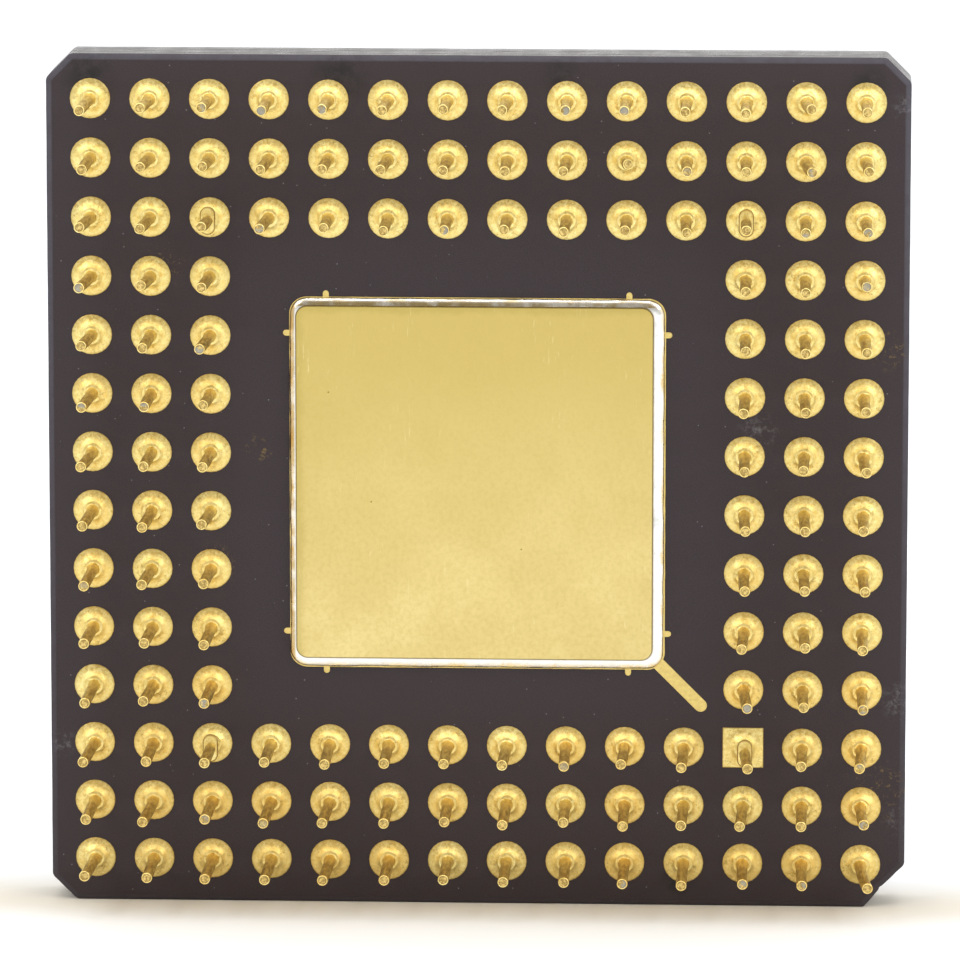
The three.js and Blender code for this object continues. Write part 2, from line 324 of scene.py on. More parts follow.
# Worn places on the pin face: x and z from the centre, and radius, in millimetres.
GOLD_DUST = [
    (17.2, -13.3, 2.2), (17.5, 5.9, 1.3), (-11.2, -3.6, 1.4), (-9.4, 1.4, 1.0), (-13.4, 9.4, 1.5),
]
DARK_SMUDGES = [
    (-16.6, 17.4, 1.5), (-5.9, 17.4, 1.7), (3.6, 17.5, 1.1), (16.6, 17.2, 1.1), (8.6, -17.3, 1.0),
]
PALE_SMUDGES = [
    (18.05, -9.3, 1.1), (18.1, 16.3, 0.8), (18.1, -14.6, 0.9), (-17.9, -11.5, 0.8), (12.0, 2.3, 1.2),
]


ALUMINA_DARK = (0.0235, 0.0140, 0.0165)
ALUMINA_LIGHT = (0.0395, 0.0275, 0.0300)
ALUMINA_CLOUD = (0.039, 0.029, 0.031)
ALUMINA_RIM = (0.066, 0.060, 0.074)
DARK_SMUDGE = (0.010, 0.009, 0.008)
PALE_SMUDGE = (0.16, 0.15, 0.16)
GOLD_FLECK = (0.22, 0.14, 0.04)
PALE_SPECK = (0.14, 0.13, 0.14)


def ceramic_material():
    """The matt pin face: fine grain, a worn rim with a painted highlight, smudges, gold dust and pale
    specks.
    """
    s = Shader("fired_alumina", roughness=0.6, metallic=0.0, specular=0.35)
    grain = s.noise(0.05 * MM, detail=4.0)
    cloud = s.noise(3.0 * MM, detail=3.0)
    base = s.mix(s.ramp(grain, 0.3, 0.7), ALUMINA_DARK, ALUMINA_LIGHT)
    base = s.mix(s.ramp(cloud, 0.35, 0.7, 0.0, 0.35), base, ALUMINA_CLOUD)

    def spots(places):
        total = 0.0
        for x, z, radius in places:
            total = s.math("ADD", total, s.near(at(x * MM, z * MM), radius * MM))
        return total

    # the rim gets a painted highlight, patchy with scuffs and brightest at the top
    scuffed = s.ramp(s.noise(0.6 * MM, 5.0, 0.7), 0.35, 0.6, 0.7, 1.0)
    upper = s.ramp(s.axis("Z"), BODY_LOW.z, BODY_HIGH.z, 0.35, 1.0)
    rim_wear_and_highlight = s.math("MULTIPLY", s.value_of("rim"), s.math("MULTIPLY", scuffed, upper))
    base = s.mix(rim_wear_and_highlight, base, ALUMINA_RIM)
    dark = s.math("MULTIPLY", spots(DARK_SMUDGES), s.ramp(s.noise(0.5 * MM, 5.0, 0.7), 0.35, 0.6))
    base = s.mix(dark, base, DARK_SMUDGE)
    pale = s.math("MULTIPLY", spots(PALE_SMUDGES), s.ramp(s.noise(0.25 * MM, 5.0, 0.7), 0.45, 0.8))
    base = s.mix(pale, base, PALE_SMUDGE)
    flecks = s.ramp(s.noise(0.22 * MM, 6.0, 0.75, distortion=0.6), 0.54, 0.66)
    gold = s.math("MULTIPLY", s.ramp(spots(GOLD_DUST), 0.0, 0.9), flecks, clamp=True)
    base = s.mix(s.math("MULTIPLY", gold, 0.6), base, GOLD_FLECK)
    specks = s.cells(0.45 * MM)
    small = s.ramp(specks.outputs["Distance"], 0.085, 0.045)
    few = s.ramp(s.noise(1.1 * MM, 2.0), 0.52, 0.56)
    base = s.mix(s.math("MULTIPLY", small, few), base, PALE_SPECK)
    s.bump(grain, 0.004 * MM)
    return s.finish(base, s.ramp(cloud, 0.3, 0.7, 0.55, 0.68))


SIDE_DARK = (0.032, 0.025, 0.026)
SIDE_LIGHT = (0.060, 0.050, 0.050)


def ceramic_side_material():
    """The fired edges are smoother than the faces, so they shine at a low angle."""
    s = Shader("fired_alumina_side", roughness=0.25, metallic=0.0, specular=0.6)
    grain = s.noise(0.08 * MM, detail=4.0)
    runs = s.noise(0.9 * MM, detail=3.0, place=s.stretched(y=0.3))
    base = s.mix(s.ramp(grain, 0.3, 0.7), SIDE_DARK, SIDE_LIGHT)
    s.bump(grain, 0.003 * MM)
    return s.finish(base, s.ramp(runs, 0.3, 0.7, 0.22, 0.34))


PAD_GOLD_DARK = (0.75, 0.56, 0.160)
PAD_GOLD_LIGHT = (0.95, 0.82, 0.37)
PAD_ORANGE = (0.86, 0.54, 0.12)
PAD_STAIN_AND_SHADE = (0.36, 0.22, 0.045)
PAD_UPPER_SHADE = (0.62, 0.36, 0.07)
SHAFT_BROWN = (0.58, 0.32, 0.06)
SHAFT_GOLD = (1.0, 0.76, 0.27)
PAD_PAINTED_SHADE = (0.23, 0.12, 0.02)


def pin_material():
    """Plating on pads, braze and shafts, with stains. The builder's values give each pin's seed, where its
    shaft is, and where painted shade goes: in the creases and on each pad's upper side.
    """
    s = Shader("pin_gold_plating", roughness=0.4, metallic=1.0)
    seed = s.value_of("pin_seed")
    mottle = s.noise(0.16 * MM, detail=6.0, roughness=0.75)
    gold = s.mix(s.ramp(mottle, 0.32, 0.68), PAD_GOLD_DARK, PAD_GOLD_LIGHT)
    orange = s.ramp(s.axis("Z"), BODY_HIGH.z, BODY_LOW.z, 0.05, 0.40)
    gold = s.mix(s.math("MULTIPLY", seed, orange), gold, PAD_ORANGE)
    # painted shade on each pad's upper side: stain-coloured freckles gather there, besides the random
    # patches, and PAD_UPPER_SHADE darkens it
    above = s.ramp(s.value_of("upward"), 0.15, 0.85)
    freckles = s.ramp(s.noise(0.14 * MM, detail=5.0, roughness=0.7, distortion=0.5), 0.53, 0.62)
    patches = s.ramp(s.noise(0.7 * MM, detail=2.0), 0.46, 0.60)
    stains_and_upper_shade = s.math("MULTIPLY", freckles, s.math("MAXIMUM", s.math("MULTIPLY", above, 0.8), patches))
    gold = s.mix(s.math("MULTIPLY", stains_and_upper_shade, 0.55), gold, PAD_STAIN_AND_SHADE)
    gold = s.mix(s.math("MULTIPLY", above, s.ramp(mottle, 0.35, 0.6, 0.35, 0.0)), gold, PAD_UPPER_SHADE)
    streaks = s.noise(0.14 * MM, detail=3.0, place=s.stretched(y=0.18))
    brown = s.mix(s.ramp(streaks, 0.38, 0.62), SHAFT_BROWN, SHAFT_GOLD)
    gold = s.mix(s.math("MULTIPLY", s.value_of("shaft"), 0.7), gold, brown)
    # painted shade in the creases: the pad's rim on the ceramic, the nail head's step, and the flange's
    # sides and underside
    gold = s.mix(s.math("MULTIPLY", s.value_of("grime"), 0.8), gold, PAD_PAINTED_SHADE)
    s.bump(s.noise(0.07 * MM, detail=5.0, roughness=0.7), 0.012 * MM)
    return s.finish(gold, s.ramp(mottle, 0.3, 0.7, 0.34, 0.46))


END_BROWN = (0.38, 0.25, 0.075)
END_GOLD = (0.82, 0.61, 0.22)
BARE_METAL = (0.34, 0.34, 0.31)
END_PAINTED_SHADE = (0.14, 0.09, 0.03)


def pin_end_material():
    """The sheared tips: rough gold, bare metal on a few, and painted shade in the dish just inside the rim.
    """
    s = Shader("pin_cut_end", roughness=0.45, metallic=1.0)
    seed = s.value_of("pin_seed")
    mottle = s.ramp(s.noise(0.11 * MM, 5.0, 0.7), 0.40, 0.62)
    gold = s.mix(mottle, END_BROWN, END_GOLD)
    bare = s.math("MULTIPLY", s.ramp(seed, 0.80, 0.86), s.ramp(s.noise(0.25 * MM, 2.0), 0.42, 0.55))
    gold = s.mix(s.math("MULTIPLY", bare, 0.8), gold, BARE_METAL)
    s.bump(s.noise(0.05 * MM, detail=4.0), 0.012 * MM)
    return s.finish(s.mix(s.math("MULTIPLY", s.value_of("grime"), 0.8), gold, END_PAINTED_SHADE))


FILM_GOLD_DARK = (0.68, 0.50, 0.165)
FILM_GOLD_LIGHT = (0.80, 0.63, 0.225)


def film_gold_material():
    s = Shader("seal_gold_plating", roughness=0.42, metallic=1.0)
    mottle = s.noise(0.2 * MM, detail=5.0, roughness=0.6)
    gold = s.mix(s.ramp(mottle, 0.3, 0.7), FILM_GOLD_DARK, FILM_GOLD_LIGHT)
    s.bump(mottle, 0.006 * MM)
    return s.finish(gold, s.ramp(mottle, 0.3, 0.7, 0.38, 0.5))


LID_PAINTED_REFLECTION_LOWER = (0.825, 0.668, 0.292)
LID_PAINTED_REFLECTION_UPPER = (0.640, 0.490, 0.158)
LID_CLOUD = (0.66, 0.515, 0.18)
LID_MOTTLE = (0.62, 0.47, 0.145)
LID_SHADE = (0.46, 0.35, 0.08)
LID_PIT = (0.36, 0.25, 0.06)
LID_SCRATCH = (0.90, 0.78, 0.42)
LID_EDGE_PAINTED_SHADE = (0.13, 0.09, 0.035)


def lid_material():
    """Dull gold with mottle, pits and scratches; a painted reflection makes it paler towards the foot, and
    painted shade darkens its top and left edges.
    """
    s = Shader("lid_gold_plating", roughness=0.5, metallic=1.0)
    cloud = s.noise(5.0 * MM, detail=4.0, roughness=0.6)
    fine = s.noise(0.20 * MM, detail=6.0, roughness=0.7)
    up = s.axis("Z")
    # painted reflection: paler gold at the foot, deeper at the top
    gold = s.mix(s.ramp(up, LID_LOW.z, LID_HIGH.z), LID_PAINTED_REFLECTION_LOWER, LID_PAINTED_REFLECTION_UPPER)
    gold = s.mix(s.ramp(cloud, 0.35, 0.65, 0.0, 0.40), gold, LID_CLOUD)
    gold = s.mix(s.ramp(fine, 0.38, 0.72, 0.0, 0.40), gold, LID_MOTTLE)
    rough_edge = s.math("MULTIPLY", s.math("SUBTRACT", s.noise(0.7 * MM, 4.0, 0.65), 0.5), 0.6 * MM)
    from_top = s.math("SUBTRACT", LID_HIGH.z, up)
    from_left = s.math("SUBTRACT", s.axis("X"), LID_LOW.x)
    inward = s.math("MINIMUM", from_top, from_left)
    shade = s.ramp(s.math("ADD", inward, rough_edge), 0.45 * MM, 0.10 * MM)
    gold = s.mix(s.math("MULTIPLY", shade, 0.35), gold, LID_SHADE)
    pits = s.ramp(s.cells(0.9 * MM).outputs["Distance"], 0.060, 0.03)
    few = s.ramp(s.noise(1.3 * MM, 2.0), 0.52, 0.58)
    gold = s.mix(s.math("MULTIPLY", pits, few), gold, LID_PIT)
    streaks = s.noise(0.10 * MM, 3.0, 0.6, place=s.stretched(x=1.0, z=0.12, turn=35))
    scratches = s.math("MULTIPLY", s.ramp(streaks, 0.62, 0.72), s.ramp(s.noise(2.2 * MM, 2.0), 0.5, 0.6))
    gold = s.mix(s.math("MULTIPLY", scratches, 0.35), gold, LID_SCRATCH)
    # painted shade on the rolled edge beside the solder
    gold = s.mix(s.math("MULTIPLY", s.value_of("grime"), 0.85), gold, LID_EDGE_PAINTED_SHADE)
    s.bump(s.math("ADD", fine, s.math("MULTIPLY", streaks, 0.4)), 0.009 * MM)
    return s.finish(gold, s.ramp(cloud, 0.3, 0.7, 0.44, 0.54))


SOLDER_GREY = (0.84, 0.81, 0.74)
SOLDER_WHITE = (0.95, 0.94, 0.90)
TARNISH_TAN = (0.70, 0.50, 0.25)
TARNISH_BROWN = (0.36, 0.26, 0.08)
SOLDER_PAINTED_SHADE = (0.36, 0.27, 0.15)


def solder_material():
    """Bright solder, with tarnish and painted shade together on the left side and beside the lid along the
    top, and painted shade where it meets the ring and the lid.
    """
    s = Shader("solder_bright", roughness=0.25, metallic=1.0)
    lumps = s.noise(0.7 * MM, detail=2.0)
    color = s.mix(s.ramp(lumps, 0.3, 0.7), SOLDER_GREY, SOLDER_WHITE)
    inward = s.value_of("inward")
    # tarnish and painted shade together on the left side and along the top beside the lid
    left = s.ramp(s.axis("X"), LID_LOW.x, LID_LOW.x - 0.1 * MM)
    above_lid = s.ramp(s.axis("Z"), LID_HIGH.z - 0.05 * MM, LID_HIGH.z)
    top = s.math("MULTIPLY", above_lid, s.ramp(inward, 0.25, 0.6))
    patches = s.ramp(s.noise(1.5 * MM, detail=3.0, roughness=0.6, distortion=0.3), 0.38, 0.55, 0.3, 0.95)
    tarnish_and_shade = s.math("MULTIPLY", s.math("MAXIMUM", left, top), patches)
    color = s.mix(tarnish_and_shade, color, s.mix(inward, TARNISH_TAN, TARNISH_BROWN))
    # painted shade where the solder meets the ring and the lid
    color = s.mix(s.math("MULTIPLY", s.value_of("grime"), 0.8), color, SOLDER_PAINTED_SHADE)
    s.bump(lumps, 0.03 * MM)
    return s.finish(color, s.ramp(lumps, 0.3, 0.7, 0.2, 0.32))


def plain_material(name, color, other, size, roughness, metallic):
    """For the sealed inner pieces: two tones in fine noise, with a little relief."""
    s = Shader(name, roughness=roughness, metallic=metallic)
    grain = s.noise(size, detail=4.0)
    s.bump(grain, size / 20)
    return s.finish(s.mix(grain, color, other), s.ramp(grain, 0.3, 0.7, roughness, roughness + 0.1))


# The ceramic layers -------------------------------------------------------------------------------

OUTLINE_STEP = 0.4 * MM
BEVEL_STEPS = 4
WORN_RIM_AND_HIGHLIGHT = [  # inset, depth and paleness round the edge of the pin face, in millimetres; the paleness is a painted highlight
    (0.270, 0.000, 0.0), (0.250, 0.004, 0.3), (0.200, 0.022, 0.9), (0.100, 0.066, 1.0),
    (0.045, 0.095, 0.9), (0.015, 0.125, 0.7), (0.000, 0.160, 0.5),
]
CORNER_EASE = 0.14 * MM
INDEX_RISE = 1.88 * MM
INDEX_NOTCH = [(0.92 * MM, 0.93 * MM), (1.05 * MM, 0.86 * MM), (1.10 * MM, 0.74 * MM)]


def eased(points, reach, steps=4):
    """A closed outline with each corner turned into a short curve that starts reach before it."""
    result = []
    for i, (x, z) in enumerate(points):
        ends = []
        for nx, nz in (points[i - 1], points[(i + 1) % len(points)]):
            length = math.hypot(nx - x, nz - z)
            share = min(reach, length / 3) / length
            ends.append((x + (nx - x) * share, z + (nz - z) * share))
        for step in range(steps + 1):
            t = step / steps
            weights = ((1 - t) ** 2, 2 * t * (1 - t), t ** 2)
            result.append(tuple(
                weights[0] * first + weights[1] * middle + weights[2] * last
                for first, middle, last in zip(ends[0], (x, z), ends[1])
            ))
    return result


def body_outline():
    """The cut-cornered square, counter-clockwise seen from the pins, the index corner at lower right."""
    edge = BODY_SIDE / 2
    plain = edge - CORNER_CUT
    index = edge - INDEX_CORNER_CUT
    notch = [(edge - left, up - edge) for left, up in reversed(INDEX_NOTCH)]
    return eased([
        (-plain, -edge), (index, -edge), *notch, (edge, INDEX_RISE - edge), (edge, plain),
        (plain, edge), (-plain, edge), (-edge, plain), (-edge, -plain),
    ], CORNER_EASE)


RIPPLE = {"depth": 0.007 * MM, "length": 1.1 * MM}
CHIPS = {"depth": 0.020 * MM, "length": RIPPLE["length"] / 3}


def chip_depths(points, seed):
    """How far each point of the rim is worn in: a fine ripple everywhere, more at the index corner."""
    index = BODY_SIDE / 2 - INDEX_CORNER_CUT
    depths = []
    for x, z in points:
        place = Vector((x, seed * MM, z))
        depth = RIPPLE["depth"] * (1 + noise.noise(place / RIPPLE["length"]))
        if x > index and z < -index:
            depth += CHIPS["depth"] * (1 + noise.noise(place / CHIPS["length"]))
        depths.append(depth)
    return depths


def quarter_round(width, depth):
    """(inset, depth, paleness) steps of a rounded edge, from the face to the side."""
    turns = [math.pi / 2 * step / BEVEL_STEPS for step in range(BEVEL_STEPS + 1)]
    return [(width * (1 - math.sin(turn)), depth * (1 - math.cos(turn)), 0.0) for turn in turns]


SEAM_EDGE = quarter_round(0.02 * MM, 0.02 * MM)
BACK_EDGE = quarter_round(0.22 * MM, 0.12 * MM)
FRONT_EDGE = [(inset * MM, depth * MM, paleness) for inset, depth, paleness in WORN_RIM_AND_HIGHLIGHT]


def rim_profile(y_front, y_back, front, back):
    """(inset, y, paleness) steps round the edge of a plate, from its front face to its back face."""
    steps = [(inset, y_front + depth, paleness) for inset, depth, paleness in front]
    return steps + [(inset, y_back - depth, paleness) for inset, depth, paleness in reversed(back)]


def plate_loops(builder, outline, wear, profile, outward):
    """Rings of a plate's edge, from front to back. outward is 1 for an outline and -1 for an opening."""
    rings = []
    for inset, y, paleness in profile:
        shifted = moved_out(outline, [-outward * (inset + w) for w in wear])
        points = [Vector((CENTRE_X + x, y, CENTRE_Z + z)) for x, z in shifted]
        rings.append(builder.add_ring(points, rim=paleness))
    return rings


def ceramic_layer(node, seed, front, back, materials):
    low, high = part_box(node)
    builder = Builder()
    outline = divided(body_outline(), OUTLINE_STEP)
    profile = rim_profile(low.y, high.y, front, back)
    outer = plate_loops(builder, outline, chip_depths(outline, seed), profile, 1)
    for step, (near_ring, far_ring) in enumerate(zip(outer, outer[1:])):
        is_side = step == len(front) - 1
        builder.bridge(far_ring, near_ring, 1 if is_side else 0)
    holes = []
    if node in OPENING:
        hole = rounded_square(OPENING[node], OPENING_CORNER)
        inner_profile = rim_profile(low.y, high.y, SEAM_EDGE, SEAM_EDGE)
        holes = plate_loops(builder, hole, [0.0] * len(hole), inner_profile, -1)
        builder.loft(holes)
    builder.fill([outer[0]] + holes[:1])
    builder.fill([outer[-1]] + holes[-1:], flip=True)
    return builder.piece(node + "_fired", materials, [node])


def ceramic_layers():
    materials = [ceramic_material(), ceramic_side_material()]
    stack = ["ceramic_seal_layer", "ceramic_wiring_layer", "ceramic_upper_shelf_layer",
             "ceramic_lower_shelf_layer", "ceramic_back_layer"]
    for seed, node in enumerate(stack):
        front = FRONT_EDGE if node == stack[0] else SEAM_EDGE
        back = BACK_EDGE if node == stack[-1] else SEAM_EDGE
        ceramic_layer(node, seed, front, back, materials)


# The pins -----------------------------------------------------------------------------------------

PIN_SEGMENTS = 24
PAD_PROFILE = [  # radius, height and painted shade: millimetres from the rim of the pad to the foot of the pin; the shade darkens the rim and the nail head's step
    (0.860, 0.000, 1.0), (0.868, 0.012, 1.0), (0.862, 0.026, 0.85), (0.842, 0.038, 0.50),
    (0.800, 0.048, 0.24), (0.730, 0.064, 0.13), (0.650, 0.090, 0.06), (0.570, 0.128, 0.0),
    (0.500, 0.172, 0.0), (0.448, 0.216, 0.0), (0.412, 0.250, 0.0), (0.400, 0.258, 0.45),
    (0.388, 0.266, 0.2), (0.368, 0.272, 0.0), (0.340, 0.272, 0.0), (0.300, 0.280, 0.1),
    (0.270, 0.302, 0.1), (0.248, 0.345, 0.05), (0.236, 0.410, 0.0), (0.230, 0.500, 0.0),
]
SHAFT_STEPS = 7
TIP_PROFILE = [(0.230, -0.050), (0.226, -0.024), (0.212, -0.006), (0.196, 0.0), (0.184, -0.006)]
# radius, drop and painted shade of the dished cut end, from the rim inwards
END_RINGS = [(0.172, -0.020, 0.5), (0.155, -0.022, 0.3), (0.130, -0.018, 0.0)]
LEAN = 0.045 * MM
SPLAY = {"x": 0.08 * MM, "z": 0.05 * MM, "lift": 0.06 * MM}
BENT_PINS = {  # row and column from the upper left: how far the tip is bent, right and up, in millimetres
    (0, 12): (0.12, 0.08), (1, 9): (0.16, 0.30), (1, 12): (0.20, 0.05), (1, 2): (0.0, 0.15),
    (3, 13): (0.0, 0.26), (2, 4): (0.14, 0.05), (10, 11): (0.18, 0.0), (11, 11): (0.10, 0.0),
    (11, 13): (-0.16, 0.0), (12, 11): (-0.16, 0.0), (12, 12): (-0.14, 0.0), (13, 13): (0.18, -0.05),
    (13, 1): (0.10, 0.0), (5, 1): (0.08, 0.05), (0, 4): (0.05, 0.0),
}


BOW = (0.8, 2.2)  # powers of the height by which pins curve towards their bent tips
SHORTFALL = 0.06 * MM  # how much shorter than its full length a pin may be
SWELL = 0.072  # how much more or less braze than usual a pad may have, as a share
ROUGH_BRAZE = {"radius": 0.010, "height": 0.16}  # unevenness of one pad's braze, as shares
BRAZE_FROM = 1.1 * PIN_RADIUS  # the braze is uneven between these two radii
BRAZE_TO = 0.95 * PAD_RADIUS


class PinShape:
    """One pin's own small irregularities."""

    def __init__(self, x, z):
        self.x = x
        self.z = z
        self.seed = RANDOM.random()
        middle = (GRID - 1) / 2
        column, row = round(x / PITCH + middle), round(middle - z / PITCH)
        bent_x, bent_z = BENT_PINS.get((row, column), (0.0, 0.0))
        reach = BODY_SIDE / 2
        self.lean_x = RANDOM.gauss(0, LEAN) + SPLAY["x"] * x / reach + bent_x * MM
        self.lean_z = RANDOM.gauss(0, LEAN) + SPLAY["z"] * z / reach + SPLAY["lift"] + bent_z * MM
        self.bow = RANDOM.uniform(*BOW)
        self.length = PIN_LENGTH - RANDOM.uniform(0.0, SHORTFALL)
        self.swell = RANDOM.uniform(-SWELL, SWELL)

    def centre(self, height):
        share = max(0.0, height / PIN_LENGTH) ** self.bow
        return self.x + self.lean_x * share, self.z + self.lean_z * share

    def turns(self):
        return [2 * math.pi * segment / PIN_SEGMENTS for segment in range(PIN_SEGMENTS)]

    def ring(self, radius, height):
        """Points round the pin at a height. The braze is a little uneven."""
        x, z = self.centre(height)
        points = []
        for turn in self.turns():
            uneven = 1.0
            if radius > BRAZE_FROM:
                place = Vector((math.cos(turn), math.sin(turn), self.seed * 40)) * 0.9
                uneven += ROUGH_BRAZE["radius"] * noise.noise(place)
            dx, dz = radius * math.cos(turn), radius * math.sin(turn)
            lift = 0.0
            if BRAZE_FROM < radius < BRAZE_TO:
                place = Vector((math.cos(turn) * 1.3, math.sin(turn) * 1.3, self.seed * 60))
                lift = height * (self.swell + ROUGH_BRAZE["height"] * noise.noise(place))
            points.append(at(x + dx * uneven, z + dz * uneven, height + lift))
        return points


def add_pin(builder, shape, square_pad=False):
    """Adds a pad, braze, nail head, shaft and cut end to the builder."""
    rings = []
    for radius, height, grime in PAD_PROFILE:
        points = shape.ring(radius * MM, height * MM)
        upward = [radius * MM / PAD_RADIUS * math.sin(turn) for turn in shape.turns()]
        shade = 0.0 if square_pad else grime
        rings.append(builder.add_ring(points, pin_seed=shape.seed, shaft=0.0, grime=shade, upward=upward))
    foot = PAD_PROFILE[-1][1] * MM
    top = shape.length + TIP_PROFILE[0][1] * MM
    for step in range(1, SHAFT_STEPS + 1):
        height = foot + (top - foot) * step / SHAFT_STEPS
        share = min(1.0, 0.5 + step / SHAFT_STEPS)
        points = shape.ring(PIN_RADIUS, height)
        rings.append(builder.add_ring(points, pin_seed=shape.seed, shaft=share, grime=0.0))
    for radius, drop in TIP_PROFILE[1:]:
        points = shape.ring(radius * MM, shape.length + drop * MM)
        rings.append(builder.add_ring(points, pin_seed=shape.seed, shaft=0.0, grime=0.0))
    for lower, upper in zip(rings, rings[1:]):
        builder.bridge(upper, lower)
    builder.add_face(rings[0])
    ends = [rings[-1]]
    for radius, drop, grime in END_RINGS:
        points = shape.ring(radius * MM, shape.length + drop * MM)
        ends.append(builder.add_ring(points, pin_seed=shape.seed, shaft=0.0, grime=grime))
    for outer, inner in zip(ends, ends[1:]):
        builder.bridge(inner, outer, 1)
    builder.add_face(ends[-1][::-1], 1)
    if square_pad:
        add_square_pad(builder, shape)


SQUARE_PAD_PROFILE = [  # inset, height and painted shade from its foot to its face, in millimetres; the shade darkens its edge on the ceramic
    (0.0, 0.0, 1.0), (0.0, 0.02, 1.0), (0.02, 0.033, 0.5), (0.05, 0.034, 0.0),
]


def add_square_pad(builder, shape):
    """The square of plating under the first pin."""
    outline = divided(rounded_square(SQUARE_PAD_SIDE, 0.03 * MM, 2), 0.2 * MM)
    rings = []
    for inset, height, grime in SQUARE_PAD_PROFILE:
        shifted = moved_out(outline, [-inset * MM] * len(outline))
        points = [at(shape.x + x, shape.z + z, height * MM) for x, z in shifted]
        rings.append(builder.add_ring(points, pin_seed=shape.seed, shaft=0.0, grime=grime))
    for lower, upper in zip(rings, rings[1:]):
        builder.bridge(upper, lower)
    builder.fill([rings[-1]])
    builder.fill([rings[0]], flip=True)


def obround(width, length, steps=10):
    """An oval with straight sides, long along z, counter-clockwise."""
    radius = width / 2
    straight = length / 2 - radius
    points = []
    for start, lift in ((0, straight), (180, -straight)):
        for step in range(steps + 1):
            turn = math.radians(start + 180 * step / steps)
            points.append((radius * math.cos(turn), lift + radius * math.sin(turn)))
    return points


FLANGE_ROOT = STANDOFF_HEIGHT - FLANGE["thickness"]
FLANGE_PROFILE = [  # inset in millimetres, height and painted shade, from its underside to its face; the shade darkens its sides and underside
    (0.06, FLANGE_ROOT, 1.0), (0.015, FLANGE_ROOT + 0.03 * MM, 1.0), (0.0, FLANGE_ROOT + 0.07 * MM, 1.0),
    (0.0, STANDOFF_HEIGHT - 0.05 * MM, 1.0), (0.03, STANDOFF_HEIGHT - 0.012 * MM, 1.0),
    (0.06, STANDOFF_HEIGHT, 0.3), (0.09, STANDOFF_HEIGHT, 0.0),
]


def add_flange(builder, shape):
    """The swaged oval that keeps the package off a board."""
    outline = obround(FLANGE["width"], FLANGE["length"])
    x, z = shape.centre(STANDOFF_HEIGHT)
    rings = []
    for inset, height, grime in FLANGE_PROFILE:
        shifted = moved_out(outline, [-inset * MM] * len(outline))
        points = [at(x + dx, z + dz, height) for dx, dz in shifted]
        rings.append(builder.add_ring(points, pin_seed=shape.seed, shaft=0.0, grime=grime))
    for lower, upper in zip(rings, rings[1:]):
        builder.bridge(upper, lower)
    builder.fill([rings[-1]])
    builder.fill([rings[0]], flip=True)


def pin_places(node):
    """The pins of a CAD run, as x and z from the body's centre."""
    low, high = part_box(node)
    width, height = high.x - low.x, high.z - low.z
    pad = min(width, height)
    count = round((max(width, height) - pad) / PITCH) + 1
    along_x = width > height
    first = Vector((low.x - CENTRE_X, low.z - CENTRE_Z)) + Vector((pad, pad)) / 2
    step = Vector((PITCH, 0)) if along_x else Vector((0, PITCH))
    return [first + step * i for i in range(count)]


def pin_runs():
    gold, end = pin_material(), pin_end_material()
    for node in sorted(n for n in frame["nodes"] if n.startswith("pins_")):
        builder = Builder()
        for place in pin_places(node):
            add_pin(builder, PinShape(place.x, place.y))
        builder.piece(node + "_plated", [gold, end], [node])
    for node in sorted(n for n in frame["nodes"] if n.startswith("standoff_pin_")):
        builder = Builder()
        place = pin_places(node)[0]
        shape = PinShape(place.x, place.y)
        add_pin(builder, shape, square_pad=node == "standoff_pin_bottom")
        add_flange(builder, shape)
        builder.piece(node + "_plated", [gold, end], [node])


# The seal -----------------------------------------------------------------------------------------

def film(builder, outline, holes=(), top=None):
    """A thin plated shape with soft edges, lying on the pin face."""
    top = RING_THICKNESS if top is None else top
    soft = top * 0.5
    loops_top, loops_bottom = [], []
    for points, side in [(outline, 1)] + [(hole, -1) for hole in holes]:
        rings = []
        for inset, height in [(0.0, 0.0), (0.0, top - soft), (soft * 0.3, top - soft * 0.3), (soft, top)]:
            shifted = moved_out(points, [-side * inset] * len(points))
            rings.append(builder.add_ring([at(x, z, height) for x, z in shifted]))
        for lower, upper in zip(rings, rings[1:]):
            if side > 0:
                builder.bridge(upper, lower)
            else:
                builder.bridge(lower, upper)
        loops_top.append(rings[-1])
        loops_bottom.append(rings[0])
    builder.fill(loops_top)
    builder.fill(loops_bottom, flip=True)


def turned(points, degrees, x=0.0, z=0.0):
    """Points turned about the origin and then moved by x and z."""
    c, s = math.cos(math.radians(degrees)), math.sin(math.radians(degrees))
    return [(x + px * c - pz * s, z + px * s + pz * c) for px, pz in points]


RING_RIPPLE = {"depth": 0.012 * MM, "length": 0.5 * MM}
TAB_HEIGHT = 0.93 * RING_THICKNESS  # a little lower than the ring, so that their tops don't share a plane


def seal_ring():
    """The plated square, its eight tabs and the bar that points to the first pin."""
    builder = Builder()
    outline = divided(rounded_square(RING["side"], RING["corner"], 12), 0.35 * MM)
    places = [Vector((x, 0, z)) / RING_RIPPLE["length"] for x, z in outline]
    ripple = [RING_RIPPLE["depth"] * noise.noise(place) for place in places]
    film(builder, moved_out(outline, ripple), [rounded_square(RING["inner"], OPENING_CORNER)])
    reach = RING["side"] / 2
    length = TAB["length"] + TAB["width"]
    for quarter in range(4):
        for side in (-1, 1):
            tab = obround(TAB["width"], length, 6)
            tab = [(x + side * TAB["offset"], z + reach + TAB["length"] - length / 2) for x, z in tab]
            film(builder, turned(tab, 90 * quarter), top=TAB_HEIGHT)
    root = reach - RING["corner"]
    bar_length = math.sqrt(2) * (INDEX_BAR["reach"] - root) + INDEX_BAR["width"]
    middle = (INDEX_BAR["reach"] + root) / 2
    bar = turned(obround(INDEX_BAR["width"], bar_length), 45, middle, -middle)
    film(builder, bar, top=TAB_HEIGHT)
    builder.piece("seal_ring_plated", [film_gold_material()], ["seal_ring"])


